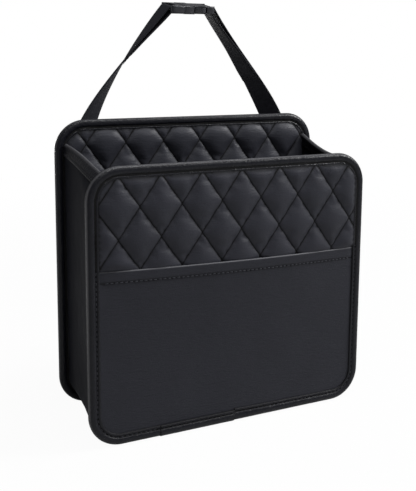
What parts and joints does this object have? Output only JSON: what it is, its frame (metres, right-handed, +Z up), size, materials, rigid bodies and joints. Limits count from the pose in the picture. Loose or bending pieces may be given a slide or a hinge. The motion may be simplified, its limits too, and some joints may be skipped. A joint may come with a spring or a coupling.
{
  "type": "back seat organizer",
  "caption": "Hanging storage bag with stiff diamond-quilted panels, a soft U-shaped gusset, a front slip pocket and buckled webbing straps.",
  "frame": {"origin": "middle of the object's outline at the level of the bottom edges it stands on", "axes": "+Z up towards the buckle, -Y towards the pocket side, +Y towards the seat it hangs on, +X to the right seen from the pocket side"},
  "size_m": [0.255, 0.1174, 0.3575],
  "materials": {
    "leather_quilted": "soft satin, fine grain, quilted",
    "leather_plain": "soft satin, fine grain",
    "lining": "matt woven",
    "board": "matt sheet",
    "foam": "soft open foam",
    "webbing": "ribbed weave",
    "plastic": "fine matt moulding"
  },
  "bodies": {
    "bag": {"back_cover": "leather_plain", "back_board": "board", "back_foam": "foam", "back_quilting": "leather_quilted", "back_binding": "leather_plain", "front_lining": "lining", "front_board": "board", "front_foam": "foam", "front_quilting": "leather_quilted", "front_pocket_backing": "lining", "front_pocket": "leather_plain", "front_binding": "leather_plain", "gusset": "leather_plain", "gusset_tape_left": "leather_plain", "gusset_tape_right": "leather_plain", "strap_left": "webbing", "strap_right": "webbing", "buckle_socket": "plastic"},
    "plug": {"buckle_plug": "plastic"},
    "front_arm": {"prong_front": "plastic"},
    "rear_arm": {"prong_rear": "plastic"}
  },
  "joints": [
    {"name": "buckle_release", "type": "slide", "parent": "bag", "child": "plug", "axis": [-1, 0, 0], "range_m": [0, 0.023], "deforming": ["strap_left", "prong_front", "prong_rear"]},
    {"name": "front_prong_squeeze", "type": "hinge", "parent": "plug", "child": "front_arm", "pos_m": [-0.0104, 0.03307, 0.35014], "axis": [0, -0.165, 0.9863], "range_deg": [0, 7], "stiffness_Nm_per_rad": 0.3},
    {"name": "rear_prong_squeeze", "type": "hinge", "parent": "plug", "child": "rear_arm", "pos_m": [-0.0104, 0.0529, 0.35346], "axis": [0, 0.165, -0.9863], "range_deg": [0, 7], "stiffness_Nm_per_rad": 0.3}
  ]
}
